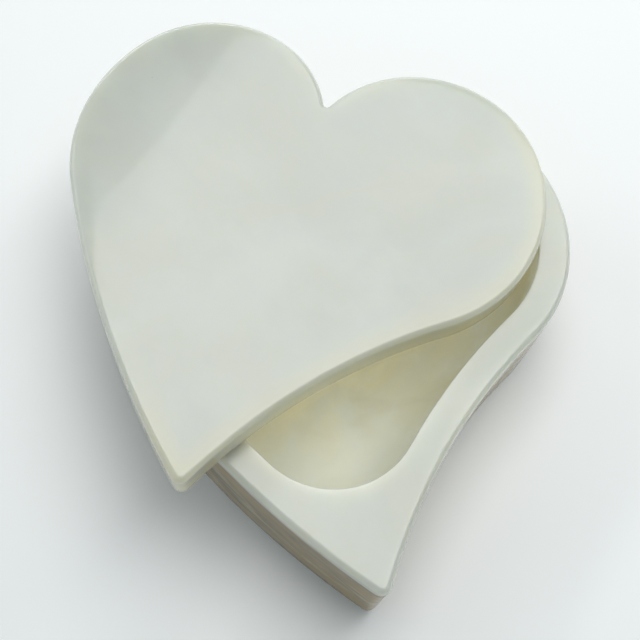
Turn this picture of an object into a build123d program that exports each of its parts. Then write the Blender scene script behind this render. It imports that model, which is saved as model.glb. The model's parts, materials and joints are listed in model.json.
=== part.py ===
from build123d import *

import math
import os

# A heart-shaped trinket box: a stone box with one carved hollow, and a flat stone lid that swings sideways
# on a hidden shoulder screw in the right lobe. Millimetres, +Z up. The origin is on the surface that the
# box stands on, under the middle of the box's footprint. The tip points to -Y and the lobes to +Y.
# At rest the lid is swung part of the way open.

# Heart outline, seen from above. Each side is a crown arc, a shoulder arc and a flank arc, each tangent
# to the next. The left flank bulges and the right flank is hollow. A reach is measured from the origin,
# towards the lobes or the tip, and a shoulder's reach is its arc centre's. A crown angle says where the
# shoulder arc hands over to the crown arc, in degrees from +X.
heart_width = 100.0
tip_reach = 51.6
notch_reach = 34.6
notch_shift = -1.7
notch_round = 0.6
tip_shift = -2.9
tip_round = 2.0
left_shoulder_radius = 37.2
left_shoulder_reach = 18.0
left_crown_angle = 142.0
left_flank_radius = 200.0
right_shoulder_radius = 33.0
right_shoulder_reach = 21.4
right_crown_angle = 35.0
right_flank_radius = 123.0

# Stone box.
box_height = 24.6
box_top_round = 1.4
box_foot_round = 0.8
rim_width = 6.8
floor_thickness = 5.0
hollow_shift = -0.3
hollow_tip_round = 17.5
hollow_land_round = 8.5
hollow_floor_round = 8.0
hollow_lip_round = 0.5

# Stone lid.
lid_thickness = 7.4
lid_top_round = 1.4
lid_foot_round = 0.4
lid_gap = 0.3
lid_open_angle = 25.7

# Felt sheet under the box.
felt_thickness = 1.0
felt_inset = 3.0

# Pivot: its place, which is measured from the right crown's edge, and its hardware.
pivot_edge_distance = 11.0
pivot_angle = 56.0
land_margin = 3.0
shoulder_radius = 2.5
thread_radius = 2.0
thread_length = 4.0
head_radius = 4.5
head_height = 2.8
head_edge_round = 0.4
pocket_depth = 6.0
socket_width = 2.5
socket_depth = 1.6
sleeve_wall = 1.0
insert_wall = 1.0
insert_length = 4.8
washer_radius = 6.0
washer_thickness = 0.8
spring_thickness = 0.4
spring_height = 0.8

# Clearances, each on the radius or between two flat faces.
running_clearance = 0.05
face_clearance = 0.03
washer_clearance = 0.2
pocket_clearance = 1.0

# Levels, from the table up.
box_foot = felt_thickness
box_top = box_foot + box_height
hollow_floor = box_foot + floor_thickness
lid_foot = box_top + lid_gap
lid_top = lid_foot + lid_thickness
pocket_top = box_foot + pocket_depth
spring_foot = pocket_top - spring_height
head_top = spring_foot - face_clearance
washer_top = lid_foot - face_clearance
washer_foot = washer_top - washer_thickness

# Radii that follow from what fits inside.
sleeve_bore = shoulder_radius + running_clearance
sleeve_radius = sleeve_bore + sleeve_wall
insert_radius = thread_radius + insert_wall
washer_bore = shoulder_radius + washer_clearance
pocket_radius = head_radius + pocket_clearance
washer_seat_radius = washer_radius + washer_clearance
land_radius = washer_seat_radius + land_margin


def polar(radius, angle):
    """The vector of that length at an angle in degrees from +X."""
    return Vector(radius * math.cos(math.radians(angle)), radius * math.sin(math.radians(angle)))


def direction(start, end):
    """The angle in degrees, from +X, of the way from start to end."""
    return math.degrees(math.atan2(end.Y - start.Y, end.X - start.X))


def circles_meet(centre_a, radius_a, centre_b, radius_b):
    """The point at those distances from the two centres, on the left of the way from a to b."""
    apart = centre_b - centre_a
    along = (radius_a**2 - radius_b**2 + apart.length**2) / (2 * apart.length)
    across = math.sqrt(radius_a**2 - along**2)
    way = apart.normalized()
    return centre_a + way * along + Vector(-way.Y, way.X) * across


def crown_radius(shoulder, radius, angle):
    """The radius of the arc that leaves a shoulder arc tangent to it, at an angle, and ends in the notch."""
    chord = shoulder + polar(radius, angle) - notch
    return chord.length**2 / (2 * chord.dot(polar(1, angle)))


# Centres and radii of the outline's arcs.
notch = Vector(notch_shift, notch_reach)
tip = Vector(tip_shift, tip_round - tip_reach)
left_shoulder = Vector(left_shoulder_radius - heart_width / 2, left_shoulder_reach)
right_shoulder = Vector(heart_width / 2 - right_shoulder_radius, right_shoulder_reach)
left_crown_radius = crown_radius(left_shoulder, left_shoulder_radius, left_crown_angle)
right_crown_radius = crown_radius(right_shoulder, right_shoulder_radius, right_crown_angle)
left_crown = left_shoulder + polar(left_shoulder_radius - left_crown_radius, left_crown_angle)
right_crown = right_shoulder + polar(right_shoulder_radius - right_crown_radius, right_crown_angle)
left_flank = circles_meet(
    left_shoulder, left_flank_radius - left_shoulder_radius, tip, left_flank_radius - tip_round
)
right_flank = circles_meet(
    right_shoulder, right_flank_radius + right_shoulder_radius, tip, right_flank_radius + tip_round
)
pivot = right_crown + polar(right_crown_radius - pivot_edge_distance, pivot_angle)


def arc(centre, radius, start_angle, end_angle):
    """An anticlockwise arc between two angles in degrees from +X."""
    return CenterArc(centre, radius, start_angle, (end_angle - start_angle) % 360)


def heart(inset=0.0):
    """The outline as a flat face at height zero, or the face whose edge lies a distance inside it."""
    end = tip
    if inset >= tip_round:
        end = circles_meet(right_flank, right_flank_radius + inset, left_flank, left_flank_radius - inset)
    left_join = direction(left_flank, left_shoulder)
    right_join = direction(right_shoulder, right_flank)
    edges = [
        arc(right_flank, right_flank_radius + inset, right_join + 180, direction(right_flank, end)),
        arc(right_shoulder, right_shoulder_radius - inset, right_join, right_crown_angle),
        arc(right_crown, right_crown_radius - inset, right_crown_angle, direction(right_crown, notch)),
        arc(left_crown, left_crown_radius - inset, direction(left_crown, notch), left_crown_angle),
        arc(left_shoulder, left_shoulder_radius - inset, left_crown_angle, left_join),
        arc(left_flank, left_flank_radius - inset, left_join, direction(left_flank, end)),
    ]
    if inset < tip_round:
        edges.append(arc(tip, tip_round - inset, direction(left_flank, tip), direction(tip, right_flank)))
    if inset > 0:
        edges.append(arc(notch, inset, direction(notch, left_crown), direction(notch, right_crown)))
        return make_face(edges)
    face = make_face(edges)
    return fillet(face.vertices().sort_by_distance(notch)[0], notch_round)


def hollow_mouth():
    """The hollow's outline: the heart, a rim smaller, with a blunt end and a bay round the pivot's land."""
    inner = Pos(hollow_shift, 0) * heart(rim_width)
    inner = fillet(inner.vertices().sort_by(Axis.Y)[0], hollow_tip_round)
    land = Pos(pivot.X, pivot.Y) * Circle(land_radius)
    mouth = inner - land
    corners = [v for v in mouth.vertices() if abs((Vector(v.X, v.Y) - pivot).length - land_radius) < 0.01]
    return fillet(corners, hollow_land_round)


def rod(radius, foot, top):
    """An upright cylinder on the pivot's axis."""
    return Pos(pivot.X, pivot.Y, foot) * extrude(Circle(radius), top - foot)


def ring(radius, bore, foot, top):
    """An upright tube on the pivot's axis."""
    return rod(radius, foot, top) - rod(bore, foot, top)


def make_box():
    """The stone box, with its hollow above and the screw's pocket, bore and washer seat through the land."""
    box = Pos(0, 0, box_foot) * extrude(heart(), box_height)
    box = fillet(box.edges().group_by(Axis.Z)[-1], box_top_round)
    box = fillet(box.edges().group_by(Axis.Z)[0], box_foot_round)
    hollow = Pos(0, 0, hollow_floor) * extrude(hollow_mouth(), box_height - floor_thickness)
    floor_edges = hollow.edges().group_by(Axis.Z)[0]
    box -= fillet(floor_edges, hollow_floor_round)
    lip = box.faces().sort_by(Axis.Z)[-1].inner_wires()[0]
    box = fillet(lip.edges(), hollow_lip_round)
    box -= rod(pocket_radius, box_foot, pocket_top)
    box -= rod(sleeve_radius, pocket_top, washer_foot)
    return box - rod(washer_seat_radius, washer_foot, box_top)


def make_lid():
    """The stone lid, with a blind hole in its underside for the threaded insert."""
    lid = Pos(0, 0, lid_foot) * extrude(heart(), lid_thickness)
    lid = fillet(lid.edges().group_by(Axis.Z)[-1], lid_top_round)
    lid = fillet(lid.edges().group_by(Axis.Z)[0], lid_foot_round)
    return lid - rod(insert_radius, lid_foot, lid_foot + insert_length)


def make_screw():
    """The shoulder screw, put in from below: socket head, plain shoulder, and thread up in the insert."""
    head_foot = head_top - head_height
    head = rod(head_radius, head_foot, head_top)
    head = fillet(head.edges().group_by(Axis.Z)[0], head_edge_round)
    socket = RegularPolygon(socket_width / 2, 6, major_radius=False)
    head -= Pos(pivot.X, pivot.Y, head_foot) * extrude(socket, socket_depth)
    shoulder = rod(shoulder_radius, head_top, lid_foot)
    return head + shoulder + rod(thread_radius, lid_foot, lid_foot + thread_length)


def make_spring():
    """The disc spring between the screw's head and the pocket's roof: a cone that is highest at its rim."""
    section = Polyline(
        (washer_bore, spring_foot),
        (head_radius, pocket_top - spring_thickness),
        (head_radius, pocket_top),
        (washer_bore, spring_foot + spring_thickness),
        close=True,
    )
    cone = revolve(Plane.XZ * make_face(section), Axis.Z)
    return Pos(pivot.X, pivot.Y) * cone


def make_felt():
    """The felt sheet glued under the box, which also covers the screw's pocket."""
    return extrude(heart(felt_inset), felt_thickness)


def swung(part):
    """A piece of the lid's assembly, turned about the pivot from the closed box to where it rests."""
    return Pos(pivot.X, pivot.Y) * Rot(0, 0, -lid_open_angle) * Pos(-pivot.X, -pivot.Y) * part


parts = {
    "box_body": make_box(),
    "felt_sheet": make_felt(),
    "body_sleeve": ring(sleeve_radius, sleeve_bore, pocket_top, washer_foot),
    "thrust_washer": ring(washer_radius, washer_bore, washer_foot, washer_top),
    "disc_spring": make_spring(),
    "lid": swung(make_lid()),
    "lid_insert": swung(ring(insert_radius, thread_radius, lid_foot, lid_foot + insert_length)),
    "shoulder_screw": swung(make_screw()),
}

os.makedirs("parts", exist_ok=True)
for name, part in parts.items():
    export_step(part, f"parts/{name}.step")
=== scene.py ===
# %% [markdown]
# # A stone heart with a swivelling lid
# This lesson dresses a small trinket box that was already designed as exact solids. The stone box, the lid
# and the pivot's hardware come in as a fixed frame, in metres, with the lid already swung part of the way
# open. The first cell loads that frame and lists its parts.

import json
import math

import bmesh
import bpy
import numpy as np
from mathutils import Matrix, Vector, geometry, noise


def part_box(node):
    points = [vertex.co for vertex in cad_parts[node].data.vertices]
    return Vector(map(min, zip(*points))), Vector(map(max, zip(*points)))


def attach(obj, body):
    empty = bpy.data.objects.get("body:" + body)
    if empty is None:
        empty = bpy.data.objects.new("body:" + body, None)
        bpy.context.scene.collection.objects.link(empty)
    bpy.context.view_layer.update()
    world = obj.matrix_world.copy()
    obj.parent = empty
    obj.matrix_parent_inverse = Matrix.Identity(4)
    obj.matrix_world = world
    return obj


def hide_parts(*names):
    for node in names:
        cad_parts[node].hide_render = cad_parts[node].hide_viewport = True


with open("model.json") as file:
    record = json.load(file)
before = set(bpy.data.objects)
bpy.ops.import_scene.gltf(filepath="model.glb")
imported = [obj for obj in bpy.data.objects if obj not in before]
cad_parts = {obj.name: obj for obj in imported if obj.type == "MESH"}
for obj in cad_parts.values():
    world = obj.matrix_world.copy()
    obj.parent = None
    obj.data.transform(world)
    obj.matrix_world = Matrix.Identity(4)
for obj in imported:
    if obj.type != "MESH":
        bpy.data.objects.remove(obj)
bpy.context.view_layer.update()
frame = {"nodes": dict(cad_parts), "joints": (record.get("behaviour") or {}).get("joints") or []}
nodes = frame["nodes"]
MM = 0.001
print("nodes:", ", ".join(sorted(nodes)))

# %% [markdown]
# ## The camera
# A close lens looks down on the box from the side of its tip, so the near end of the object comes out
# noticeably larger than the far end. The camera's own up direction is given too, because the box lies a
# little turned in its picture.

# %% Place the camera
CAMERA_PLACE = Vector((-31.4, -73.2, 212.2)) * MM
CAMERA_TARGET = Vector((-6.9, 3.7, 25.7)) * MM
CAMERA_UP = Vector((0.103, 0.915, 0.391))
CAMERA_LENS = 56.25


def look_at(thing, place, target, up):
    """Puts a camera or a lamp at a place, facing its target, with its top side towards up."""
    back = (place - target).normalized()
    right = up.cross(back).normalized()
    turn = Matrix((right, back.cross(right), back)).transposed()
    thing.matrix_world = Matrix.Translation(place) @ turn.to_4x4()


camera = bpy.data.objects.new("camera", bpy.data.cameras.new("camera"))
camera.data.lens = CAMERA_LENS
camera.data.clip_start = 10 * MM
look_at(camera, CAMERA_PLACE, CAMERA_TARGET, CAMERA_UP)
bpy.context.collection.objects.link(camera)
bpy.context.scene.camera = camera
print("the camera stands", round((CAMERA_PLACE - CAMERA_TARGET).length / MM), "mm from the box")

# %% [markdown]
# ## The stone's outline
# Exact solids are perfectly even, and hand-cut stone isn't. Its rounded edges are a little wider in one
# place than in another, its walls wander by a hair, and the inside of the hollow still shows where the
# grinding wheel went. So the two stone pieces are built again as meshes, on the outlines of the solids.
#
# An outline could be drawn again with curves, but then it might not quite fit the solid. So it is read from
# the ring of vertices where an upright wall ends, by walking from edge to edge at that height.

# %% Read a ring of points from a solid
LEVEL_SLACK = 0.02 * MM
WELD_REACH = 0.002 * MM
LEVEL_FACE = 0.99
LID_FOOT_ROUND = 0.4 * MM


def signed_area(ring):
    """The area inside a ring of points, which is positive when the ring runs anticlockwise."""
    x, y = ring.T
    return 0.5 * float(np.sum(x * np.roll(y, -1) - np.roll(x, -1) * y))


def ring_at(node, level):
    """The points of a solid's own vertices at one height, in order round their closed ring, anticlockwise."""
    bm = bmesh.new()
    bm.from_mesh(nodes[node].data)
    bmesh.ops.remove_doubles(bm, verts=bm.verts, dist=WELD_REACH)
    bm.edges.index_update()
    edges = {e for e in bm.edges if all(abs(v.co.z - level) < LEVEL_SLACK for v in e.verts)
             and any(abs(f.normal.z) < LEVEL_FACE for f in e.link_faces)}
    edge = min(edges, key=lambda e: e.index)
    edges.remove(edge)
    ring = [edge.verts[0], edge.verts[1]]
    while ring[-1] is not ring[0]:
        edge = next(e for e in ring[-1].link_edges if e in edges)
        edges.remove(edge)
        ring.append(edge.other_vert(ring[-1]))
    points = np.array([v.co.xy for v in ring[:-1]])
    bm.free()
    return points if signed_area(points) > 0 else points[::-1]


lid_ring = ring_at("lid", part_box("lid")[0].z + LID_FOOT_ROUND)
print("the lid's wall is drawn with", len(lid_ring), "points")

# %% [markdown]
# The ring's points stand far apart on gentle curves and close together on tight ones. A smooth curve is run
# through them and divided evenly, so that every part of an edge gets the same density of mesh. The curve is
# a Catmull-Rom spline, because it passes through its points. The centripetal kind doesn't overshoot where a
# long gap meets a short one.

# %% Run a smooth curve through a ring
OUTLINE_STEP = 0.5 * MM
CURVE_FINENESS = 4


def blend_points(a, b, start, end, at):
    """The points part of the way from a to b, where at runs from start to end."""
    share = ((at - start) / (end - start))[:, None]
    return a * (1 - share) + b * share


def smooth_outline(ring, step):
    """A closed centripetal Catmull-Rom curve through the ring's points, divided evenly."""
    dense = []
    for i in range(len(ring)):
        p = [ring[(i + k) % len(ring)] for k in (-1, 0, 1, 2)]
        t = np.cumsum([0.0] + [math.sqrt(np.linalg.norm(p[k + 1] - p[k])) for k in range(3)])
        count = max(CURVE_FINENESS, int(CURVE_FINENESS * np.linalg.norm(p[2] - p[1]) / step))
        at = np.linspace(t[1], t[2], count, endpoint=False)
        first = [blend_points(p[k], p[k + 1], t[k], t[k + 1], at) for k in range(3)]
        second = [blend_points(first[k], first[k + 1], t[k], t[k + 2], at) for k in range(2)]
        dense.append(blend_points(second[0], second[1], t[1], t[2], at))
    dense = np.concatenate(dense)
    closed = np.vstack([dense, dense[:1]])
    length = np.concatenate([[0.0], np.cumsum(np.linalg.norm(np.diff(closed, axis=0), axis=1))])
    at = np.linspace(0.0, length[-1], round(length[-1] / step), endpoint=False)
    return np.column_stack([np.interp(at, length, closed[:, k]) for k in (0, 1)])


lid_outline = smooth_outline(lid_ring, OUTLINE_STEP)
lid_area = round(signed_area(lid_outline) / MM**2)
print("the smooth outline has", len(lid_outline), "points, and encloses", lid_area, "mm2")

# %% [markdown]
# Every rounded edge is the outline moved inwards a little, so each point needs to know which way is out.
# That is square to the line between the points on either side of it.

# %% Find the way out of an outline
TOP_ROUND = 1.4 * MM


def outward(outline, reach=1):
    """The unit vectors that point out of an anticlockwise outline, one for each point.

    A longer reach, in points, takes each direction from a longer stretch of the outline."""
    along = np.roll(outline, -reach, axis=0) - np.roll(outline, reach, axis=0)
    along /= np.linalg.norm(along, axis=1)[:, None]
    return np.column_stack([along[:, 1], -along[:, 0]])


inner = lid_outline - outward(lid_outline) * TOP_ROUND
print("inside its rounded edge, the lid's top is", round(signed_area(inner) / MM**2), "mm2")

# %% [markdown]
# ## Building a stone piece from rings
# Each piece is a stack of rings. A ring is the outline moved inwards by some distance, at some height, and
# neighbouring rings are joined with four-sided faces. A bevel on the solid's mesh would be quicker, but it
# would be perfectly even. Here soft noise, read at each point's own place, makes the distances uneven
# without ever pushing the stone out past its exact solid.

# %% Rings and bridges
CIRCLE_POINTS = 64
WALL_LUMP = 14 * MM


def wander(outline, height, size, seed=0.0):
    """Soft noise from 0 to 1 round an outline at a height, with lumps of about the given size."""
    places = [Vector((x / size, y / size, height / size + seed)) for x, y in outline]
    return np.array([0.5 + 0.5 * noise.noise(place) for place in places])


def add_ring(bm, outline, inset, height, reach=1):
    """A closed ring of vertices, with an inset and a height that may be one number or one for each point."""
    places = outline - outward(outline, reach) * np.broadcast_to(inset, len(outline))[:, None]
    heights = np.broadcast_to(height, len(outline))
    return [bm.verts.new((x, y, z)) for (x, y), z in zip(places, heights)]


def add_circle(bm, centre, radius, height):
    """A ring of vertices on a circle."""
    turns = [2 * math.pi * k / CIRCLE_POINTS for k in range(CIRCLE_POINTS)]
    places = [(centre.x + radius * math.cos(a), centre.y + radius * math.sin(a)) for a in turns]
    return [bm.verts.new((x, y, height)) for x, y in places]


def bridge(bm, rings, finish):
    """Joins each ring of a stack to the next with quads of one finish."""
    for low, high in zip(rings, rings[1:]):
        for i in range(len(low)):
            j = (i + 1) % len(low)
            bm.faces.new((low[i], low[j], high[j], high[i])).material_index = finish


shares = wander(lid_outline, 0.0, WALL_LUMP)
print("round the lid the noise goes from", round(float(shares.min()), 2), "to", round(float(shares.max()), 2))

# %% [markdown]
# ### Flat faces with holes in them
# One many-sided face could close a flat end, but it shades badly, and it can't have a hole. The area is
# filled with triangles instead. A grid of extra points keeps them even, and a constrained Delaunay
# triangulation joins those to the rings. A face is kept where its middle lies inside the outer ring and
# outside the holes, which is found by counting how many lines lie to one side of it.

# %% Fill the area between rings
WIDE_GRID = 4 * MM
EDGE_CLEARANCE = 0.6
JOIN_SLACK = 1e-5


def inside(places, loops):
    """Whether each place lies inside the outer loop and outside the loops within it."""
    crossings = np.zeros(len(places), dtype=int)
    for loop in loops:
        for (x0, y0), (x1, y1) in zip(loop, np.roll(loop, -1, axis=0)):
            if y0 != y1:
                spans = (places[:, 1] >= min(y0, y1)) & (places[:, 1] < max(y0, y1))
                crossings += spans & (places[:, 0] < x0 + (places[:, 1] - y0) * (x1 - x0) / (y1 - y0))
    return crossings % 2 == 1


def fill(bm, rings, finish, grid_step=WIDE_GRID, relief=None):
    """Fills the area between an outer ring and the rings inside it with even triangles.

    The relief gives the height of the places between the rings, and they are level without it."""
    loops = [np.array([v.co.xy for v in ring]) for ring in rings]
    border = np.vstack(loops)
    low, high = border.min(axis=0), border.max(axis=0)
    across, along = (np.arange(low[k] + grid_step / 2, high[k], grid_step) for k in (0, 1))
    grid = np.array([(x, y) for x in across for y in along]).reshape(-1, 2)
    grid = grid[inside(grid, loops)]
    gaps = [float(np.min(np.linalg.norm(border - place, axis=1))) for place in grid]
    kept = [(place, gap) for place, gap in zip(grid, gaps) if gap > grid_step * EDGE_CLEARANCE]
    level = rings[0][0].co.z
    verts = [v for ring in rings for v in ring]
    verts += [bm.verts.new((x, y, relief((x, y), gap) if relief else level)) for (x, y), gap in kept]
    edges, start = [], 0
    for ring in rings:
        edges += [(start + i, start + (i + 1) % len(ring)) for i in range(len(ring))]
        start += len(ring)
    plan = [Vector(v.co.xy) / MM for v in verts]
    _, _, faces, came_from, _, _ = geometry.delaunay_2d_cdt(plan, edges, [], 1, JOIN_SLACK)
    corners = [[verts[came_from[k][0]] for k in face] for face in faces]
    middles = np.array([np.mean([c.co.xy for c in face], axis=0) for face in corners])
    for face, covered in zip(corners, inside(middles, loops)):
        if covered:
            bm.faces.new(face).material_index = finish


pivot = Vector(frame["joints"][0]["pos_m"][:2])
print("the pivot lies inside the lid's outline:", bool(inside(np.array([pivot]), [lid_outline])[0]))

# %% [markdown]
# ### Rounded edges, and a finished piece
# A rounded edge is a quarter turn from the wall to the flat face, in a few even steps. When a piece is
# whole, it is shaded smooth, apart from the corners that turn more sharply than an angle. The count of open
# edges shows whether the piece is closed, as a solid thing has to be.

# %% Round an edge and finish a piece
QUARTER_TURN = math.pi / 2
ROLL_STEPS = 9
SHARP_ANGLE = math.radians(38)


def rounded_edge(reach, from_height, to_height, steps=ROLL_STEPS):
    """Inset and height pairs that roll over a quarter turn of an edge, from its wall to its flat face."""
    turns = [QUARTER_TURN * k / steps for k in range(steps + 1)]
    rise = (to_height - from_height) / np.max(reach)
    return [(reach * (1 - math.cos(a)), to_height - rise * reach * (1 - math.sin(a))) for a in turns]


def finish_piece(bm, name, sharp_angle=SHARP_ANGLE):
    """Turns a finished bmesh into an object with smooth faces and crisp corners."""
    bmesh.ops.recalc_face_normals(bm, faces=bm.faces)
    mesh = bpy.data.meshes.new(name)
    loose = sum(1 for e in bm.edges if len(e.link_faces) != 2)
    bm.to_mesh(mesh)
    bm.free()
    mesh.polygons.foreach_set("use_smooth", [True] * len(mesh.polygons))
    mesh.set_sharp_from_angle(angle=sharp_angle)
    piece = bpy.data.objects.new(name, mesh)
    bpy.context.collection.objects.link(piece)
    print(name, "has", len(mesh.polygons), "faces, and", loose, "of its edges are open")
    return piece


steps = [(round(float(i) / MM, 2), round(h / MM, 2)) for i, h in rounded_edge(TOP_ROUND, 0.0, TOP_ROUND)]
print("the top edge goes in and up, in mm:", steps)

# %% [markdown]
# ## Walls and polished faces
# Both stone pieces have the same outside: a tight foot edge, which keeps the stone from chipping, a wall
# that wanders by a hair, and a generous roll along the top. Their flat faces were polished by hand, so they
# dip by a few hundredths of a millimetre. That is too little to see as a shape, but it bends reflections.

# %% Make walls and hand-polished faces
UNEVEN_ROUND = 0.3
WALL_HAIR = 0.08 * MM
FOOT_STEPS = 4
FLATNESS = 0.05 * MM
FLATNESS_LUMP = 26 * MM
FLATNESS_EDGE = 8 * MM


def side_rings(bm, outline, foot, top, foot_round, wall_steps):
    """The stack of rings up the outside of a slab: foot edge, wandering wall and rolled top edge."""
    foot_reach = foot_round * (1 - UNEVEN_ROUND * wander(outline, foot, WALL_LUMP))
    top_reach = TOP_ROUND * (1 - UNEVEN_ROUND * wander(outline, top, WALL_LUMP))
    levels = rounded_edge(foot_reach, foot + foot_round, foot, FOOT_STEPS)[::-1]
    for k in range(1, wall_steps):
        height = foot + foot_round + (top - TOP_ROUND - foot - foot_round) * k / wall_steps
        levels.append((0.0, height))
    levels += rounded_edge(top_reach, top - TOP_ROUND, top)
    rings = []
    for inset, height in levels:
        hair = WALL_HAIR * wander(outline, float(np.mean(height)), WALL_LUMP, seed=3.0)
        rings.append(add_ring(bm, outline, inset + hair, height))
    return rings


def hand_flatness(level):
    """A relief that is almost flat, as a face polished by hand is, and level along its edges."""
    def height(place, gap):
        lump = 0.5 + 0.5 * noise.noise(Vector((*place, 0)) / FLATNESS_LUMP)
        return level - FLATNESS * lump * min(1.0, gap / FLATNESS_EDGE)
    return height


dips = [hand_flatness(0.0)(place, FLATNESS_EDGE) for place in lid_outline]
print("a polished face dips by up to", round(-min(dips) / MM, 3), "mm")

# %% [markdown]
# ## The lid
# The lid is a flat slab. Seen from below, it has the blind hole that the threaded insert is glued into, so
# the hole takes its width and depth from the insert. Each vertex also keeps its distance from the edge,
# because the material paints warm light near it. An attribute on the mesh holds that number for the material.
#
# The faces are numbered by finish as they are made: polished, honed, ground, or the side of the box. Those
# numbers pick the materials later.

# %% Build the lid
POLISHED, HONED, GROUND, SIDE = 0, 1, 2, 3
LID_WALL_STEPS = 5
TOP_GRID = 2.5 * MM
EDGE_GAP = "edge_gap"


def half_width(node):
    """Half of a round solid's width."""
    low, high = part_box(node)
    return (high.x - low.x) / 2


def note_edge_gap(piece, outline):
    """Keeps each vertex's distance from the outline on the mesh, for the painted warm light along the margin.
    """
    gaps = [float(np.min(np.linalg.norm(outline - np.array(v.co.xy), axis=1))) for v in piece.data.vertices]
    piece.data.attributes.new(EDGE_GAP, "FLOAT", "POINT").data.foreach_set("value", gaps)


def build_lid():
    """The lid's mesh, on the solid lid's outline and height, with the insert's blind hole."""
    low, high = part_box("lid")
    bm = bmesh.new()
    rings = side_rings(bm, lid_outline, low.z, high.z, LID_FOOT_ROUND, LID_WALL_STEPS)
    bridge(bm, rings, POLISHED)
    fill(bm, [rings[-1]], POLISHED, TOP_GRID, hand_flatness(high.z))
    mouth = add_circle(bm, pivot, half_width("lid_insert"), low.z)
    end = add_circle(bm, pivot, half_width("lid_insert"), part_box("lid_insert")[1].z)
    fill(bm, [rings[0], mouth], HONED)
    bridge(bm, [mouth, end], HONED)
    fill(bm, [end], HONED)
    piece = finish_piece(bm, "stone_lid")
    note_edge_gap(piece, lid_outline)
    return piece


lid = build_lid()
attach(lid, "lid")
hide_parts("lid")

# %% [markdown]
# ## The hollow
# The hollow was ground out of the box with a round wheel. The wheel leaves a wide cove round the floor, and
# shallow dips and ridges wherever it touched. Cutting the hollow with a boolean would leave it as even as
# the solid, so its wall and cove are rings too, and each vertex is pushed into the stone by the depth that
# the wheel dug to there: sideways on the wall, downwards on the floor, and a mix of the two between.

# %% Grind the hollow
FLOOR_THICKNESS = 5 * MM
LIP_ROUND = 0.45 * MM
LIP_STEPS = 5
WALL_STEPS = 6
COVE = 8 * MM
COVE_REACH = 7.6 * MM
COVE_STEPS = 14
MOUTH_REACH = 4
WHEEL_MARK = 0.14 * MM
WHEEL_LUMP = 8 * MM
RIPPLES_PER_LUMP = 3.1
RIPPLE_SHARE = 0.12


def wheel_mark(place):
    """How far the grinding wheel dug in at a place, from zero to the depth of its deepest mark."""
    lump = noise.noise(Vector(place) / WHEEL_LUMP)
    ripple = noise.noise(Vector(place) * RIPPLES_PER_LUMP / WHEEL_LUMP)
    return WHEEL_MARK * (0.5 + (0.5 - RIPPLE_SHARE) * lump + RIPPLE_SHARE * ripple)


def hollow_rings(bm, mouth, floor, rim):
    """The rings from the rim, over the lip, down the wall and along the cove to the edge of the floor."""
    lip = LIP_ROUND * (1 - UNEVEN_ROUND * wander(mouth, rim, WALL_LUMP, seed=5.0))
    levels = [(-lip * (1 - math.cos(a)), rim - lip * (1 - math.sin(a)))
              for a in np.linspace(QUARTER_TURN, 0, LIP_STEPS + 1)]
    wall = rim - LIP_ROUND - floor - COVE
    levels += [(0.0, rim - LIP_ROUND - wall * k / WALL_STEPS) for k in range(1, WALL_STEPS)]
    levels += [(COVE_REACH * (1 - math.cos(a)), floor + COVE * (1 - math.sin(a)))
               for a in np.linspace(0, QUARTER_TURN, COVE_STEPS + 1)]
    rings = [add_ring(bm, mouth, inset, height, MOUTH_REACH) for inset, height in levels]
    for ring in rings[LIP_STEPS + 1:]:
        for vert, way in zip(ring, outward(mouth, MOUTH_REACH)):
            depth = wheel_mark(vert.co)
            sink = min(1.0, max(0.0, (floor + COVE - vert.co.z) / COVE))
            vert.co += Vector((way[0], way[1], 0)) * depth * (1 - sink) - Vector((0, 0, depth * sink))
    return rings


box_low, box_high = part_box("box_body")
floor = box_low.z + FLOOR_THICKNESS
mouth = smooth_outline(ring_at("box_body", floor + COVE), OUTLINE_STEP)
print("the hollow is", round((box_high.z - floor) / MM, 1), "mm deep, and its mouth is",
      round(signed_area(mouth) / MM**2), "mm2")

# %% [markdown]
# ## The box
# The box has the lid's outer wall, only taller. The pocket, the bore and the washer's seat are cut through
# the thick part of the stone that is hidden under the lid. Together they are one well of circles, which
# steps in and out as it rises, and each step takes its width and height from the piece that fits there.

# %% Build the box
BOX_FOOT_ROUND = 0.8 * MM
BOX_WALL_STEPS = 14
FLOOR_GRID = 1.5 * MM
WASHER_CLEARANCE = 0.2 * MM
POCKET_CLEARANCE = 1.0 * MM


def pivot_well(bm):
    """The circles of the pivot's pocket, bore and seat, from the box's foot to its rim."""
    pocket = half_width("shoulder_screw") + POCKET_CLEARANCE
    bore = half_width("body_sleeve")
    seat = half_width("thrust_washer") + WASHER_CLEARANCE
    roof, ledge = (corner.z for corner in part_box("body_sleeve"))
    steps = [(pocket, box_low.z), (pocket, roof), (bore, roof)]
    steps += [(bore, ledge), (seat, ledge), (seat, box_high.z)]
    return [add_circle(bm, pivot, radius, height) for radius, height in steps]


def build_box():
    """The box's mesh, on the solid box's outlines and heights."""
    outline = smooth_outline(ring_at("box_body", box_low.z + BOX_FOOT_ROUND), OUTLINE_STEP)
    bm = bmesh.new()
    side = side_rings(bm, outline, box_low.z, box_high.z, BOX_FOOT_ROUND, BOX_WALL_STEPS)
    bridge(bm, side[:-ROLL_STEPS], SIDE)
    bridge(bm, side[-ROLL_STEPS - 1:], POLISHED)
    hollow = hollow_rings(bm, mouth, floor, box_high.z)
    bridge(bm, hollow[:LIP_STEPS + 1], POLISHED)
    bridge(bm, hollow[LIP_STEPS:], GROUND)
    fill(bm, [hollow[-1]], GROUND, FLOOR_GRID, lambda place, gap: floor - wheel_mark((*place, floor)))
    well = pivot_well(bm)
    bridge(bm, well, HONED)
    fill(bm, [side[-1], hollow[0], well[-1]], POLISHED, TOP_GRID, hand_flatness(box_high.z))
    fill(bm, [side[0], well[0]], HONED)
    return finish_piece(bm, "stone_box")


box = build_box()
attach(box, "box")
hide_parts("box_body")

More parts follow.
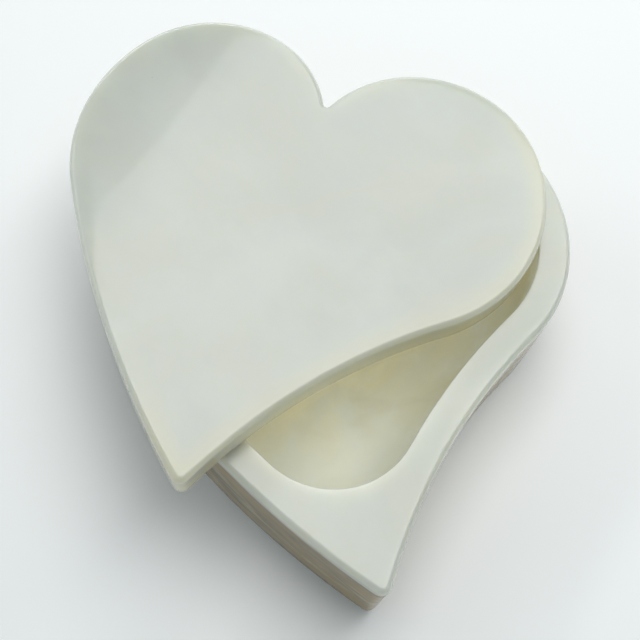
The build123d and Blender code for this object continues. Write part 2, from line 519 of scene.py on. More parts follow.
# %% [markdown]
# ## The felt
# A sheet of wool felt is glued under the box, so that the stone doesn't scratch the table. Felt has no
# weave: its fibres are pressed flat, and a few hundred stand out loose where it was cut. Hair curves could
# make those, but small tapered meshes stay in the exported model. Each one leaves the edge and droops.

# %% Make a loose fibre
FIBRE_RADIUS = 0.03 * MM
FIBRE_LENGTH = 1.3 * MM
FIBRE_DROOP = 0.25
FIBRE_TAPER = 0.6
FIBRE_STEPS = 3
FIBRE_SIDES = (0.0, 2.1, 4.2)


def add_fibre(bm, root, way, length):
    """A short three-sided fibre that leaves a point and droops as it goes."""
    rings = []
    for k in range(FIBRE_STEPS + 1):
        along = k / FIBRE_STEPS
        middle = root + way * length * along
        middle.z = max(FIBRE_RADIUS, root.z - FIBRE_DROOP * length * along * along)
        side = way.cross(Vector((0, 0, 1))).normalized()
        up = side.cross(way)
        radius = FIBRE_RADIUS * (1 - FIBRE_TAPER * along)
        rings.append([bm.verts.new(middle + radius * (side * math.cos(a) + up * math.sin(a)))
                      for a in FIBRE_SIDES])
    bridge(bm, rings, 0)
    bm.faces.new(rings[0][::-1])
    bm.faces.new(rings[-1])


print("a fibre is", round(2 * FIBRE_RADIUS / MM, 2), "mm thick, and up to",
      round(FIBRE_LENGTH / MM, 1), "mm long")

# %% [markdown]
# The sheet itself is built like the stone, from rings and fills. Its cut edge bulges softly, its faces are
# a little lumpy, and its outline is fuzzier than the stone's. The fibres are drawn from a numbered series
# of random numbers, so that they lie the same way each time.

# %% Build the felt
FELT_RING_STEP = 0.8 * MM
FELT_EDGE_STEPS = 6
FELT_BULGE = 0.2 * MM
FELT_FUZZ = 0.25 * MM
FELT_FUZZ_LUMP = 1.1 * MM
FELT_LUMP = 2.2 * MM
FELT_RELIEF = 0.1 * MM
FELT_GRID = 1.6 * MM
FELT_SHARP_ANGLE = math.radians(70)
FIBRE_COUNT = 420
FIBRE_ROOT = 0.5 * MM
FIBRE_SPREAD = 1.1
FIBRE_SERIES = 7


def felt_relief(level, way):
    """A relief that sinks the felt's face into the sheet by small lumps, where way is -1 for its top face."""
    def height(place, gap):
        lump = 0.5 + 0.5 * noise.noise(Vector((*place, level)) / FELT_LUMP)
        return level + way * FELT_RELIEF * lump * min(1.0, gap / FELT_GRID)
    return height


def add_fibres(bm, outline, middle, half):
    """Fibres that stand out from the cut edge, at random places and in random directions."""
    draw = np.random.default_rng(FIBRE_SERIES)
    ways = outward(outline)
    for _ in range(FIBRE_COUNT):
        i = draw.integers(len(outline))
        height = middle + half * draw.uniform(-0.5, 0.6)
        root = Vector((*(outline[i] - ways[i] * FIBRE_ROOT), height))
        turn = Matrix.Rotation(draw.uniform(-FIBRE_SPREAD, FIBRE_SPREAD), 3, "Z")
        add_fibre(bm, root, turn @ Vector((*ways[i], 0)), FIBRE_LENGTH * draw.uniform(0.5, 1.0))


def build_felt():
    """The felt sheet's mesh, with its bulging cut edge and the fibres that stand out from it."""
    low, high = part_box("felt_sheet")
    outline = smooth_outline(ring_at("felt_sheet", low.z), FELT_RING_STEP)
    middle, half = (low.z + high.z) / 2, (high.z - low.z) / 2
    bm = bmesh.new()
    rings = []
    for a in np.linspace(-QUARTER_TURN, QUARTER_TURN, FELT_EDGE_STEPS + 1):
        fuzz = FELT_FUZZ * wander(outline, math.sin(a) * half, FELT_FUZZ_LUMP)
        inset = FELT_BULGE * (1 - math.cos(a)) + fuzz
        rings.append(add_ring(bm, outline, inset, middle + half * math.sin(a)))
    bridge(bm, rings, 0)
    fill(bm, [rings[0]], 0, FELT_GRID, felt_relief(low.z, 1))
    fill(bm, [rings[-1]], 0, FELT_GRID, felt_relief(high.z, -1))
    add_fibres(bm, outline, middle, half)
    return finish_piece(bm, "felt_pad", FELT_SHARP_ANGLE)


felt = build_felt()
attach(felt, "box")
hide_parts("felt_sheet")

# %% [markdown]
# ## Materials in code
# A material is a tree of nodes, and every node that is made by hand takes a line for itself and a line for
# each link. A few helpers take up what repeats. Each makes one node, sets or links its inputs, and returns
# the output that is wanted, so a material reads as a recipe from top to bottom.

# %% Make single nodes
def set_inputs(tree, node, inputs):
    """Links each input to a socket, or sets it to a value."""
    for name, value in inputs.items():
        if isinstance(value, bpy.types.NodeSocket):
            tree.links.new(value, node.inputs[name])
        else:
            node.inputs[name].default_value = value


def add_node(tree, kind, inputs=None, **settings):
    """Adds a node, with its inputs set by name and its other settings by keyword."""
    node = tree.nodes.new(kind)
    for name, value in settings.items():
        setattr(node, name, value)
    set_inputs(tree, node, inputs or {})
    return node


def noise_node(tree, place, scale, detail, output="Fac"):
    """A noise texture's output, at a place, with a number of lumps to a unit and a number of finer layers."""
    inputs = {"Vector": place, "Scale": scale, "Detail": detail}
    return add_node(tree, "ShaderNodeTexNoise", inputs).outputs[output]


def math_node(tree, operation, *values):
    """The output of a Math node on sockets or numbers."""
    node = add_node(tree, "ShaderNodeMath", dict(enumerate(values)), operation=operation)
    return node.outputs[0]


def ramp(tree, value, low, high, out_low=0.0, out_high=1.0):
    """A value that goes smoothly from one number to another as another value goes from low to high."""
    limits = {"Value": value, "From Min": low, "From Max": high, "To Min": out_low, "To Max": out_high}
    return add_node(tree, "ShaderNodeMapRange", limits, interpolation_type="SMOOTHSTEP").outputs["Result"]


def blend(tree, mask, first, second):
    """A colour between two colours, where the mask says how much of the second there is."""
    node = add_node(tree, "ShaderNodeMix", {0: mask, 6: first, 7: second}, data_type="RGBA")
    return node.outputs[2]


def tint(tree, colour, mask, most, second):
    """The colour, moved towards a second one by the mask, and by no more than a share of the way."""
    return blend(tree, math_node(tree, "MULTIPLY", mask, most), colour, second)


def vector_node(tree, operation, inputs, output="Vector"):
    """The output of a Vector Math node on sockets, numbers or vectors."""
    return add_node(tree, "ShaderNodeVectorMath", inputs, operation=operation).outputs[output]


trial = bpy.data.node_groups.new("trial", "ShaderNodeTree")
tint(trial, (1, 1, 1, 1), 0.5, 0.5, (0, 0, 0, 1))
print("one tint takes", len(trial.nodes), "nodes and", len(trial.links), "link")
bpy.data.node_groups.remove(trial)

# %% [markdown]
# ## Effects that several materials share
# Onyx is a banded, translucent stone. Its paleness drifts in clouds, thin veins wander through it, and a
# hand polish leaves it slightly uneven. Each of these effects is a node group with named sockets, so every
# stone material places the same effect with its own sizes. A group gives only masks and heights, and the
# shader stays in the material.
#
# All of the effects read places on the object itself, and not on the screen or in the room, so the pattern
# stays with the stone when the lid swings. Places are in metres, so a group first divides them by a size
# in millimetres. Slow noise can then push them about, which makes the pattern drift.

# %% Make and place a node group
PLACE = ("Place", "NodeSocketVector", None)
PUSH_SCALE = 0.6
PUSH_DETAIL = 2.0


def socket(name, value):
    """A group's input for a number, with the value it has when nothing sets it."""
    return (name, "NodeSocketFloat", value)


def new_group(name, inputs, outputs):
    """A node group with named sockets, and the sockets to build it between."""
    tree = bpy.data.node_groups.new(name, "ShaderNodeTree")
    for label, kind, value in inputs:
        entry = tree.interface.new_socket(label, in_out="INPUT", socket_type=kind)
        if value is not None:
            entry.default_value = value
    for label in outputs:
        tree.interface.new_socket(label, in_out="OUTPUT", socket_type="NodeSocketFloat")
    given = tree.nodes.new("NodeGroupInput").outputs
    wanted = tree.nodes.new("NodeGroupOutput").inputs
    return tree, given, wanted


def place_group(tree, group, **values):
    """Places a node group in a material, with its sockets set by name, and returns its outputs."""
    node = tree.nodes.new("ShaderNodeGroup")
    node.node_tree = group
    set_inputs(tree, node, values)
    return node.outputs


def sized(tree, place, size):
    """The place in units of a size that is given in millimetres."""
    return vector_node(tree, "SCALE", {0: place, "Scale": math_node(tree, "DIVIDE", 1 / MM, size)})


def warped(tree, place, amount):
    """The place, pushed about by slow noise."""
    push = noise_node(tree, place, PUSH_SCALE, PUSH_DETAIL, "Color")
    centred = vector_node(tree, "SUBTRACT", {0: push, 1: (0.5, 0.5, 0.5)})
    return vector_node(tree, "MULTIPLY_ADD", {0: centred, 1: (amount,) * 3, 2: place})


print("each effect starts from a socket named", PLACE[0])

# %% [markdown]
# ### Clouds
# The clouds are noise whose places were pushed about by slower noise first, so that they drift in tongues,
# as the stone did when it was laid down. Only the middle of the noise's range is used, which leaves wide
# areas plain.

# %% Build the clouds
clouds, given, wanted = new_group("stone_clouds", [PLACE, socket("Size", 24.0)], ["Mask"])
spot = warped(clouds, sized(clouds, given["Place"], given["Size"]), 1.6)
cloud = noise_node(clouds, spot, 1.0, 5.0)
cloud.node.inputs["Roughness"].default_value = 0.55
clouds.links.new(ramp(clouds, cloud, 0.36, 0.66), wanted["Mask"])
print(clouds.name, "is made of", len(clouds.nodes), "nodes")

# %% [markdown]
# ### Veins
# A vein is a thin crack that was filled with another mineral. Noise passes through its middle value along
# long curved lines, so the places where it is within a small width of that value are drawn-out veins. A
# second noise lets them fade in and out along their length.

# %% Build the veins
veins, given, wanted = new_group("drifting_veins", [
    PLACE, socket("Size", 30.0), socket("Width", 0.02)], ["Mask"])
stretched = add_node(veins, "ShaderNodeMapping", {
    "Vector": sized(veins, given["Place"], given["Size"]),
    "Rotation": (0.5, 0.3, -0.45),
    "Scale": (0.55, 1.7, 1.3)}).outputs["Vector"]
field = noise_node(veins, warped(veins, stretched, 0.9), 1.0, 4.0)
ridge = math_node(veins, "ABSOLUTE", math_node(veins, "SUBTRACT", field, 0.5))
thin = ramp(veins, ridge, given["Width"], 0.0)
present = ramp(veins, noise_node(veins, stretched, 0.8, 1.0), 0.42, 0.62)
veins.links.new(math_node(veins, "MULTIPLY", thin, present), wanted["Mask"])
print(veins.name, "is made of", len(veins.nodes), "nodes")

# %% [markdown]
# ### A hand polish
# Polishing by hand leaves slow waves, and a little grit that wasn't worked out. One height drives both the
# fine bump and the roughness, so that the waves and the duller patches belong together. A separate noise
# for each would look like dirt on top of the stone.

# %% Build the hand polish
polish, given, wanted = new_group("hand_polish", [
    PLACE, socket("Size", 6.0), socket("Dullest", 0.22), socket("Brightest", 0.12)], ["Height", "Roughness"])
spot = sized(polish, given["Place"], given["Size"])
wave = noise_node(polish, spot, 1.0, 3.0)
grit = noise_node(polish, spot, 14.0, 2.0)
height = math_node(polish, "MULTIPLY_ADD", grit, 0.12, wave)
polish.links.new(height, wanted["Height"])
worn = add_node(polish, "ShaderNodeMapRange", {
    "Value": height, "From Min": 0.4, "From Max": 0.75,
    "To Min": given["Brightest"], "To Max": given["Dullest"]})
polish.links.new(worn.outputs["Result"], wanted["Roughness"])
print(polish.name, "is made of", len(polish.nodes), "nodes")

# %% [markdown]
# ### Specks
# A few dark grains sit in the stone. A Voronoi texture scatters one point in each cell of space, and gives
# each cell a random colour. One channel of that colour sets the grain's size, so most are small.

# %% Build the specks
specks, given, wanted = new_group("mineral_specks", [
    PLACE, socket("Spacing", 5.0), socket("Radius", 0.05)], ["Mask"])
spot = sized(specks, given["Place"], given["Spacing"])
cell = add_node(specks, "ShaderNodeTexVoronoi", {"Vector": spot, "Scale": 1.0})
size = add_node(specks, "ShaderNodeSeparateColor", {"Color": cell.outputs["Color"]}).outputs[0]
reach = math_node(specks, "MULTIPLY", size, given["Radius"])
near = math_node(specks, "LESS_THAN", cell.outputs["Distance"], reach)
specks.links.new(near, wanted["Mask"])
print(specks.name, "is made of", len(specks.nodes), "nodes")

# %% [markdown]
# ## The stone's finishes
# The outside is a pale greenish-white onyx with a high polish. Light goes some way into it, spreads, and
# comes out warmer, so the shader scatters light under the surface. Around the foot of the box the same
# block has a brown-grey band, streaked along its length, which is partly its own band and partly painted
# shade of the sides that face away from the light. The hollow is matt because it was ground and not
# polished, and its honey colour is painted warm light from the stone's translucency.

# The colours are mixed from a small palette. One function makes what all of the stone's finishes share:
# the scattering, the polish and its bump, and a clear coat for the wettest part of the shine.

# %% Mix the palette and the stone's shader
# The honey colour is painted warm light, the olive one also colours a painted shadow, and the brown and umber
# are partly painted shade on the box's sides.
MILK = (0.58, 0.60, 0.55, 1)
CLOUD = (0.52, 0.545, 0.50, 1)
STRAW = (0.56, 0.53, 0.44, 1)
PAINTED_HONEY_LIGHT = (0.66, 0.62, 0.43, 1)
OLIVE_AND_SHADOW = (0.54, 0.51, 0.34, 1)
BROWN_AND_SHADE = (0.32, 0.225, 0.085, 1)
UMBER_AND_SHADE = (0.15, 0.105, 0.05, 1)
CHALK = (0.46, 0.39, 0.25, 1)
SCATTER = (1.0, 0.92, 0.66)
SCATTER_REACH = 8 * MM
SCATTER_SHARE = 0.85
STONE_IOR = 1.57
COAT_ROUGHNESS = 0.04


def new_material(name):
    """A new material, with its place on the object and its shader's inputs."""
    material = bpy.data.materials.new(name)
    material.use_nodes = True
    tree = material.node_tree
    place = tree.nodes.new("ShaderNodeTexCoord").outputs["Object"]
    return material, tree, place, tree.nodes["Principled BSDF"].inputs


def add_bump(tree, shader, height, strength, depth):
    """Bends the shader's normal by a height, where depth is the size of a full step of it."""
    lift = {"Height": height, "Strength": strength, "Distance": depth}
    tree.links.new(add_node(tree, "ShaderNodeBump", lift).outputs["Normal"], shader["Normal"])


def stone_shader(name, worked, coat, strength, depth, scatter=SCATTER_SHARE):
    """A new stone material, polished or ground as the group's values say, and ready to be coloured."""
    material, tree, place, shader = new_material(name)
    shader["IOR"].default_value = STONE_IOR
    shader["Subsurface Weight"].default_value = scatter
    shader["Subsurface Radius"].default_value = SCATTER
    shader["Subsurface Scale"].default_value = SCATTER_REACH
    shader["Coat Weight"].default_value = coat
    shader["Coat Roughness"].default_value = COAT_ROUGHNESS
    surface = place_group(tree, polish, Place=place, **worked)
    tree.links.new(surface["Roughness"], shader["Roughness"])
    add_bump(tree, shader, surface["Height"], strength, depth)
    return material, tree, place, shader


print("red light goes", round(SCATTER[0] * SCATTER_REACH / MM, 1), "mm into the stone, and blue light",
      round(SCATTER[2] * SCATTER_REACH / MM, 1), "mm")

# %% [markdown]
# ### The pale stone
# Three finishes start from the same pale onyx. It is mostly plain: wide clouds that are hardly darker, some
# straw-coloured drifts, and here and there a thin vein or a dark grain.

# %% Colour the pale stone

def pale_stone(tree, place):
    """The colour of the pale onyx: clouds, straw-coloured drifts and a few thin veins and specks."""
    cloudy = place_group(tree, clouds, Place=place, Size=46.0)["Mask"]
    drift = place_group(tree, clouds, Place=place, Size=27.0)["Mask"]
    vein = place_group(tree, veins, Place=place, Size=52.0, Width=0.035)["Mask"]
    speck = place_group(tree, specks, Place=place, Spacing=13.0, Radius=0.035)["Mask"]
    colour = blend(tree, cloudy, MILK, CLOUD)
    colour = tint(tree, colour, drift, 0.3, STRAW)
    colour = tint(tree, colour, vein, 0.35, STRAW)
    return tint(tree, colour, speck, 0.3, UMBER_AND_SHADE)


def honed_stone():
    """The undersides and the pivot's cuts: the pale stone, dull from the hone."""
    dull = {"Size": 2.0, "Dullest": 0.6, "Brightest": 0.45}
    material, tree, place, shader = stone_shader("honed_stone", dull, coat=0.0, strength=0.5, depth=0.04 * MM)
    tree.links.new(pale_stone(tree, place), shader["Base Color"])
    return material


honed = honed_stone()
print(honed.name, "is made of", len(honed.node_tree.nodes), "nodes")

# %% [markdown]
# ### The lid's polish
# Light that enters a translucent slab near its edge comes out through the wall, so the lid's colour carries
# painted warm light along its lower edge and along the flank that faces away from the light. Those two tints
# read the height of a place and the distance that each vertex kept from the edge. A faint painted shadow of
# the brass insert darkens the colour over the pivot.

# %% Polish the lid
WARM_START, WARM_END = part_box("lid")[1].z - 1.0 * MM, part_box("lid")[0].z + 1.5 * MM
WARM_FLANK = (0.55, -0.83, 0.0)
FLANK_START, FLANK_END = -22 * MM, -4 * MM
EDGE_GLOW = 6 * MM
SHADOW_EDGE, SHADOW_CORE = 7 * MM, 1 * MM


def height_of(tree, place):
    """The height of a place on the object."""
    return add_node(tree, "ShaderNodeSeparateXYZ", {"Vector": place}).outputs["Z"]


def lid_polish():
    """The lid: pale stone, painted warm light along its edge, and the insert's painted shadow over the pivot.
    """
    polished = {"Size": 7.0, "Dullest": 0.20, "Brightest": 0.13}
    material, tree, place, shader = stone_shader(
        "lid_polish", polished, coat=0.35, strength=0.25, depth=0.02 * MM)
    colour = pale_stone(tree, place)
    # Painted warm light, towards the lid's lower edge.
    warm = ramp(tree, height_of(tree, place), WARM_START, WARM_END)
    colour = tint(tree, colour, warm, 0.85, PAINTED_HONEY_LIGHT)
    # Painted warm light near the edge, on the flank that faces away from the light.
    gap = add_node(tree, "ShaderNodeAttribute", attribute_name=EDGE_GAP).outputs["Fac"]
    glow = ramp(tree, gap, EDGE_GLOW, 0.0)
    across = vector_node(tree, "DOT_PRODUCT", {0: place, 1: WARM_FLANK}, "Value")
    flank = ramp(tree, across, FLANK_START, FLANK_END)
    colour = tint(tree, colour, math_node(tree, "MULTIPLY", glow, flank), 0.4, PAINTED_HONEY_LIGHT)
    # Painted shadow of the brass insert, darker towards the pivot.
    from_pivot = vector_node(tree, "DISTANCE", {0: place, 1: (*pivot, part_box("lid")[1].z)}, "Value")
    shadow = ramp(tree, from_pivot, SHADOW_EDGE, SHADOW_CORE)
    colour = tint(tree, colour, shadow, 0.16, OLIVE_AND_SHADOW)
    tree.links.new(colour, shader["Base Color"])
    return material


for finish in (lid_polish(), honed):
    lid.data.materials.append(finish)
print(lid.name, "wears", ", ".join(m.name for m in lid.data.materials))

# %% [markdown]
# ### The box's outside
# The pale stone is only a thin layer at the rim, and below it the block is brown and grey, partly its own
# colour and partly painted shade of sides that face away from the light. Bands in onyx run flat and long, so
# their places are squashed in height and drawn out along the wall before they reach the clouds and veins.
# The layer's lower border wobbles with the bands, as a real one does.
#
# The brown stone is denser than the pale stone, so the sides scatter less light and reflect less of the
# room. That makes two materials from one function: one for the rim and its rolled edge, one for the wall.

# %% Polish the box
BAND_TILT = (0.3, -0.22, 0.0)
BAND_SQUASH = (0.5, 0.5, 1.9)
BAND_WOBBLE = 1.1 * MM
PALE_DEPTH = 0.9 * MM
BROWN_DEPTH = 2.6 * MM


def banded_stone_and_shade(tree, place, streak, drawn_out):
    """The colour of the brown stone, partly painted shade: streaks, finer streaks, chalky veins and paler
    patches.
    """
    fine = place_group(tree, clouds, Place=drawn_out, Size=3.4)["Mask"]
    light = place_group(tree, veins, Place=drawn_out, Size=16.0, Width=0.05)["Mask"]
    patch = place_group(tree, clouds, Place=place, Size=33.0)["Mask"]
    colour = blend(tree, streak, BROWN_AND_SHADE, UMBER_AND_SHADE)
    colour = tint(tree, colour, fine, 0.45, BROWN_AND_SHADE)
    colour = tint(tree, colour, light, 0.8, CHALK)
    return tint(tree, colour, patch, 0.35, CHALK)


def box_polish(name, scatter, mirror):
    """The box's outside: the pale rim, and the brown-grey band round its sides, partly painted shade, which
    scatters less light.
    """
    polished = {"Size": 7.0, "Dullest": 0.24, "Brightest": 0.14}
    material, tree, place, shader = stone_shader(name, polished, 0.35 * mirror, 0.3, 0.03 * MM, scatter)
    shader["Specular IOR Level"].default_value = 0.5 * mirror
    drawn_out = add_node(tree, "ShaderNodeMapping", {
        "Vector": place, "Rotation": BAND_TILT, "Scale": BAND_SQUASH}).outputs["Vector"]
    streak = place_group(tree, clouds, Place=drawn_out, Size=11.0)["Mask"]
    wobble = math_node(tree, "MULTIPLY", streak, BAND_WOBBLE)
    level = math_node(tree, "ADD", height_of(tree, place), wobble)
    # The brown band is partly the stone's own band and partly painted shade of sides that face away from the
    # light.
    side = ramp(tree, level, box_high.z - PALE_DEPTH, box_high.z - BROWN_DEPTH)
    colour = tint(tree, pale_stone(tree, place), side, 0.9, banded_stone_and_shade(tree, place, streak, drawn_out))
    tree.links.new(colour, shader["Base Color"])
    return material


rim_polish = box_polish("rim_polish", SCATTER_SHARE, 1.0)
side_polish_and_shade = box_polish("side_polish_and_shade", 0.25, 0.2)
print(side_polish_and_shade.name, "is made of", len(side_polish_and_shade.node_tree.nodes), "nodes")

# %% [markdown]
# ### The ground hollow
# The hollow was never polished, so it is matt, with a coarser bump and no coat. Its honey colour is painted
# warm light from the stone's translucency, with milky and olive clouds. It turns paler towards the lip,
# painted light where daylight comes through the rim, and paler towards the tip.

# %% Colour the hollow
LIP_PALE_START, LIP_PALE_END = box_high.z - 11 * MM, box_high.z - 1 * MM
TIP_PALE_START, TIP_PALE_END = -5 * MM, -24 * MM


def ground_hollow():
    """The hollow: matt, in painted warm honey light, with paler clouds, and paler still towards its lip and
    its tip.
    """
    matt = {"Size": 3.0, "Dullest": 0.62, "Brightest": 0.42}
    material, tree, place, shader = stone_shader(
        "ground_hollow", matt, coat=0.0, strength=0.5, depth=0.06 * MM)
    cloudy = place_group(tree, clouds, Place=place, Size=21.0)["Mask"]
    olive = place_group(tree, clouds, Place=place, Size=12.0)["Mask"]
    vein = place_group(tree, veins, Place=place, Size=26.0, Width=0.06)["Mask"]
    # The honey base is painted warm light that comes through the stone and between its walls.
    colour = blend(tree, cloudy, PAINTED_HONEY_LIGHT, MILK)
    colour = tint(tree, colour, olive, 0.5, OLIVE_AND_SHADOW)
    colour = tint(tree, colour, vein, 0.12, BROWN_AND_SHADE)
    axes = add_node(tree, "ShaderNodeSeparateXYZ", {"Vector": place}).outputs
    # Paler towards the lip is painted light through the rim; towards the tip it only grows paler along the
    # box.
    colour = tint(tree, colour, ramp(tree, axes["Z"], LIP_PALE_START, LIP_PALE_END), 0.8, MILK)
    colour = tint(tree, colour, ramp(tree, axes["Y"], TIP_PALE_START, TIP_PALE_END), 0.8, MILK)
    tree.links.new(colour, shader["Base Color"])
    return material


for finish in (rim_polish, honed, ground_hollow(), side_polish_and_shade):
    box.data.materials.append(finish)
print(box.name, "wears", ", ".join(m.name for m in box.data.materials))

# %% [markdown]
# ## The pivot's hardware and the felt's wool
# The hardware is hidden in the stone, but the underside and the model's export show it. The sleeve and the
# insert are turned brass, the screw and the spring are steel, and the washer is white nylon. Their solids
# are exact already, so they keep their own meshes and only get a finish.
#
# Turned parts carry fine rings round their own axis, left by the tool as it travels. A wave texture would
# run straight, so this group measures the distance from the axis and the height along it, and takes the
# sine of their sum. It rings a flat end and a round wall alike.

# %% Build the turned rings
METAL_SMEAR = 900.0

turning, given, wanted = new_group("turned_rings", [PLACE, socket("Spacing", 0.25)], ["Height", "Roughness"])
offset = vector_node(turning, "SUBTRACT", {0: given["Place"], 1: (*pivot, 0.0)})
flat = vector_node(turning, "MULTIPLY", {0: offset, 1: (1, 1, 0)})
radius = vector_node(turning, "LENGTH", {0: flat}, "Value")
run = math_node(turning, "ADD", radius, height_of(turning, offset))
travel = math_node(turning, "MULTIPLY", run, 2 * math.pi / MM)
ring_wave = math_node(turning, "SINE", math_node(turning, "DIVIDE", travel, given["Spacing"]))
smear = noise_node(turning, offset, METAL_SMEAR, 3.0)
turning.links.new(math_node(turning, "MULTIPLY_ADD", smear, 0.8, ring_wave), wanted["Height"])
turning.links.new(ramp(turning, smear, 0.3, 0.7, 0.22, 0.42), wanted["Roughness"])
print(turning.name, "is made of", len(turning.nodes), "nodes")

# %% [markdown]
# ### Brass and steel
# Every metal here is one recipe: two colours of the same metal in soft patches, and the rings. Only the
# colours and the spacing of the rings change.

# %% Make the metals
BRASS_BRIGHT, BRASS_DULL = (0.83, 0.62, 0.29, 1), (0.66, 0.47, 0.22, 1)
STEEL_BRIGHT, STEEL_DULL = (0.62, 0.62, 0.61, 1), (0.50, 0.50, 0.50, 1)
BLUED_BRIGHT, BLUED_DULL = (0.30, 0.31, 0.34, 1), (0.22, 0.21, 0.22, 1)


def turned_metal(name, bright, dull, spacing):
    """A turned metal, brighter and duller in patches, with fine rings left by the tool."""
    material, tree, place, shader = new_material(name)
    shader["Metallic"].default_value = 1.0
    turned = place_group(tree, turning, Place=place, Spacing=spacing)
    tarnish = place_group(tree, clouds, Place=place, Size=4.0)["Mask"]
    tree.links.new(blend(tree, tarnish, bright, dull), shader["Base Color"])
    tree.links.new(turned["Roughness"], shader["Roughness"])
    add_bump(tree, shader, turned["Height"], 0.4, 0.01 * MM)
    return material


def dress(node, material):
    """Gives a carried-over solid one material in all of its slots."""
    for slot in nodes[node].material_slots:
        slot.material = material
    print(node, "wears", material.name)


brass = turned_metal("turned_brass", BRASS_BRIGHT, BRASS_DULL, 0.3)
dress("body_sleeve", brass)
dress("lid_insert", brass)
dress("shoulder_screw", turned_metal("turned_steel", STEEL_BRIGHT, STEEL_DULL, 0.25))
dress("disc_spring", turned_metal("blued_spring_steel", BLUED_BRIGHT, BLUED_DULL, 0.12))

# %% [markdown]
# ### Nylon
# Natural nylon is milky and lets a little light in. The washer was punched from sheet, so its surface has
# the same slow waves as a polish, only duller and closer together.

# %% Make the nylon
NYLON_LIGHT, NYLON_DARK = (0.80, 0.79, 0.74, 1), (0.70, 0.69, 0.63, 1)


def punched_nylon():
    """The washer's cloudy white nylon."""
    material, tree, place, shader = new_material("punched_nylon")
    shader["Subsurface Weight"].default_value = 0.3
    shader["Subsurface Scale"].default_value = 1 * MM
    cloudy = place_group(tree, clouds, Place=place, Size=3.0)["Mask"]
    worked = place_group(tree, polish, Place=place, Size=1.2, Dullest=0.5, Brightest=0.32)
    tree.links.new(blend(tree, cloudy, NYLON_LIGHT, NYLON_DARK), shader["Base Color"])
    tree.links.new(worked["Roughness"], shader["Roughness"])
    add_bump(tree, shader, worked["Height"], 0.4, 0.02 * MM)
    return material


dress("thrust_washer", punched_nylon())

# %% [markdown]
# ### Wool felt
# Felt's fibres run every way. Noise that is stretched along one direction looks like strands, so two such
# noises are laid across each other and the higher one wins at each place. Sheen on the shader gives the
# soft pale look that loose fibres have when they are seen from the side.

# %% Make the felt's wool
WOOL_DARK, WOOL_LIGHT = (0.055, 0.075, 0.060, 1), (0.085, 0.105, 0.085, 1)
WOOL_FIBRE = (0.16, 0.18, 0.15, 1)
STRAND_SIZE = 0.5
STRAND_WARP = 3.0
STRAND_STRETCH = (0.18, 1.0, 1.0)
STRAND_TURNS = (0.0, 1.9)


def strands(tree, place, turn):
    """Noise that is drawn out into strands in one direction."""
    drawn_out = add_node(tree, "ShaderNodeMapping", {
        "Vector": warped(tree, sized(tree, place, STRAND_SIZE), STRAND_WARP),
        "Rotation": (0, 0, turn),
        "Scale": STRAND_STRETCH}).outputs["Vector"]
    return noise_node(tree, drawn_out, 1.0, 3.0)


def wool_felt():
    """The felt: grey-green wool, mottled, with short pressed fibres that run every way."""
    material, tree, place, shader = new_material("wool_felt")
    shader["Sheen Weight"].default_value = 0.4
    shader["Sheen Roughness"].default_value = 0.6
    mottle = place_group(tree, clouds, Place=place, Size=5.0)["Mask"]
    fibres = math_node(tree, "MAXIMUM", *(strands(tree, place, turn) for turn in STRAND_TURNS))
    colour = blend(tree, mottle, WOOL_DARK, WOOL_LIGHT)
    colour = blend(tree, ramp(tree, fibres, 0.5, 0.75, 0.0, 0.55), colour, WOOL_FIBRE)
    tree.links.new(colour, shader["Base Color"])
    tree.links.new(ramp(tree, fibres, 0.3, 0.8, 1.0, 0.8), shader["Roughness"])
    add_bump(tree, shader, fibres, 0.8, 0.12 * MM)
    return material


felt.data.materials.append(wool_felt())
print(felt.name, "wears", felt.data.materials[0].name)

# %% [markdown]
# ## The floor
# The floor is plain and nearly white, and wide enough that its edge stays far away. It lies a hair below
# the felt, because two faces in the same place would flicker through each other.

# %% Lay the floor
FLOOR_SIZE = 6.0
FLOOR_DIP = 0.05 * MM
FLOOR_COLOUR = (0.95, 0.95, 0.95, 1)
FLOOR_ROUGHNESS = 0.8


def build_floor():
    """A wide flat sheet, just below the felt."""
    half = FLOOR_SIZE / 2
    corners = [(x * half, y * half, -FLOOR_DIP) for x, y in ((-1, -1), (1, -1), (1, 1), (-1, 1))]
    mesh = bpy.data.meshes.new("floor")
    mesh.from_pydata(corners, [], [(0, 1, 2, 3)])
    sheet = bpy.data.objects.new("floor", mesh)
    bpy.context.collection.objects.link(sheet)
    paper = bpy.data.materials.new("floor_paper")
    paper.use_nodes = True
    shader = paper.node_tree.nodes["Principled BSDF"].inputs
    shader["Base Color"].default_value = FLOOR_COLOUR
    shader["Roughness"].default_value = FLOOR_ROUGHNESS
    mesh.materials.append(paper)
    return sheet


build_floor()
print("the floor is", FLOOR_SIZE, "m wide")

# %% [markdown]
# ## The lights
# A polished stone is lit by what it mirrors. One large softbox hangs above and behind the right lobe. It is
# turned so that its reflection covers the lid except for the left lobe, which mirrors the cooler and
# darker sky beside it. Three lower windows stand round the back, and each draws a thin line of light along
# the rounded edges that face it.

# %% Hang the lights
KEY_PLACE = (0.184, 0.293, 0.8)
KEY_SIZE = (0.70, 0.70)
KEY_POWER = 4.5
KEY_COLOUR = (1.0, 0.99, 0.96)
KEY_TURN = (-0.77, 0.64, 0)
WINDOWS = (("right", 33, 0.5), ("back", 92, 0.9), ("left", 147, 0.6))
WINDOW_ELEVATION = 33
WINDOW_DISTANCE = 1.2
WINDOW_HEIGHT = 0.10
WINDOW_POWER = 2.4
WINDOW_COLOUR = (0.95, 1.0, 1.03)


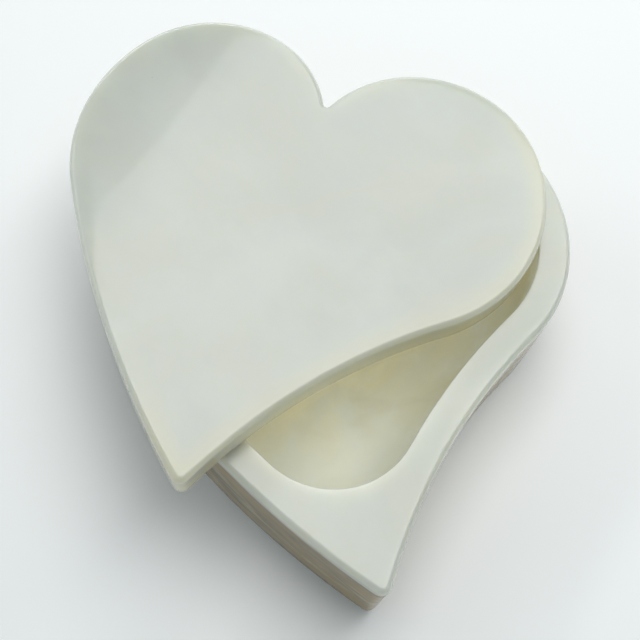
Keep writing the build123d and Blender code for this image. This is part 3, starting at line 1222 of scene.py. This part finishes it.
def softbox(name, place, target, size, power, colour, turn, shape="RECTANGLE"):
    """An area light at a place, facing a target, turned so that its top side is towards turn."""
    lamp = bpy.data.lights.new(name, "AREA")
    lamp.shape = shape
    lamp.size, lamp.size_y = size
    lamp.energy = power
    lamp.color = colour
    thing = bpy.data.objects.new(name, lamp)
    look_at(thing, Vector(place), Vector(target), Vector(turn))
    bpy.context.collection.objects.link(thing)
    print(name, "gives", round(power, 4), "W")


def towards(azimuth, elevation, distance):
    """The place in a direction, given in degrees, at a distance from the origin."""
    turn, rise = math.radians(azimuth), math.radians(elevation)
    level = Vector((math.cos(turn), math.sin(turn), 0)) * math.cos(rise)
    return (level + Vector((0, 0, math.sin(rise)))) * distance


softbox("key", KEY_PLACE, (*KEY_PLACE[:2], 0.0), KEY_SIZE, KEY_POWER, KEY_COLOUR, KEY_TURN)
for side, azimuth, width in WINDOWS:
    place = towards(azimuth, WINDOW_ELEVATION, WINDOW_DISTANCE)
    size = (width, WINDOW_HEIGHT)
    softbox("window_" + side, place, (0, 0, 0), size, WINDOW_POWER * width, WINDOW_COLOUR, (0, 0, 1))

# %% [markdown]
# ## The glow in the hollow
# Cycles works out the scattering under a surface only for the first one that light meets on its way from the
# camera. So it leaves out the light that comes through the lid and the walls into the hollow. A faint warm
# lamp as wide as the hollow stands in for that light. It faces down from just under the rim, where the
# stone keeps it from everything else.

# %% Let the stone glow into its hollow
GLOW_DEPTH = 1.0 * MM
GLOW_POWER = 0.0100
GLOW_COLOUR = (1.0, 0.97, 0.84)

wall_ring = ring_at("box_body", floor + COVE)
wall_low, wall_high = wall_ring.min(axis=0), wall_ring.max(axis=0)
middle, spread = (wall_low + wall_high) / 2, wall_high - wall_low
glow_place = (*middle, box_high.z - GLOW_DEPTH)
softbox("glow", glow_place, (*middle, 0.0), spread, GLOW_POWER, GLOW_COLOUR, (0, 1, 0), "ELLIPSE")
print("the glow covers", [round(float(s) / MM) for s in spread], "mm")

# %% [markdown]
# ## The sky
# Whatever isn't lamp or floor is sky, and the polish mirrors it too. A ramp from the horizon up to the
# zenith keeps it brighter low down, where it lights the walls, and cooler high up, where the left lobe
# mirrors it. The picture is made without a film curve, so that pale stone stays as pale as it is.

# %% Hang the sky
SKY_STEPS = [(0.0, (0.56, 0.58, 0.58)), (0.12, (0.38, 0.40, 0.41)), (0.45, (0.26, 0.285, 0.29)),
             (0.80, (0.25, 0.31, 0.34)), (1.0, (0.30, 0.33, 0.33))]

world = bpy.data.worlds.new("studio_sky")
world.use_nodes = True
bpy.context.scene.world = world
sky = world.node_tree
way = sky.nodes.new("ShaderNodeTexCoord").outputs["Generated"]
steps = add_node(sky, "ShaderNodeValToRGB", {"Fac": height_of(sky, way)})
for at, colour in SKY_STEPS[1:-1]:
    steps.color_ramp.elements.new(at)
for element, (at, colour) in zip(steps.color_ramp.elements, SKY_STEPS):
    element.position = at
    element.color = (*colour, 1)
sky.links.new(steps.outputs["Color"], sky.nodes["Background"].inputs["Color"])
sky.nodes["Background"].inputs["Strength"].default_value = 1.0
bpy.context.scene.view_settings.view_transform = "Standard"
print("the sky has", len(steps.color_ramp.elements), "steps")
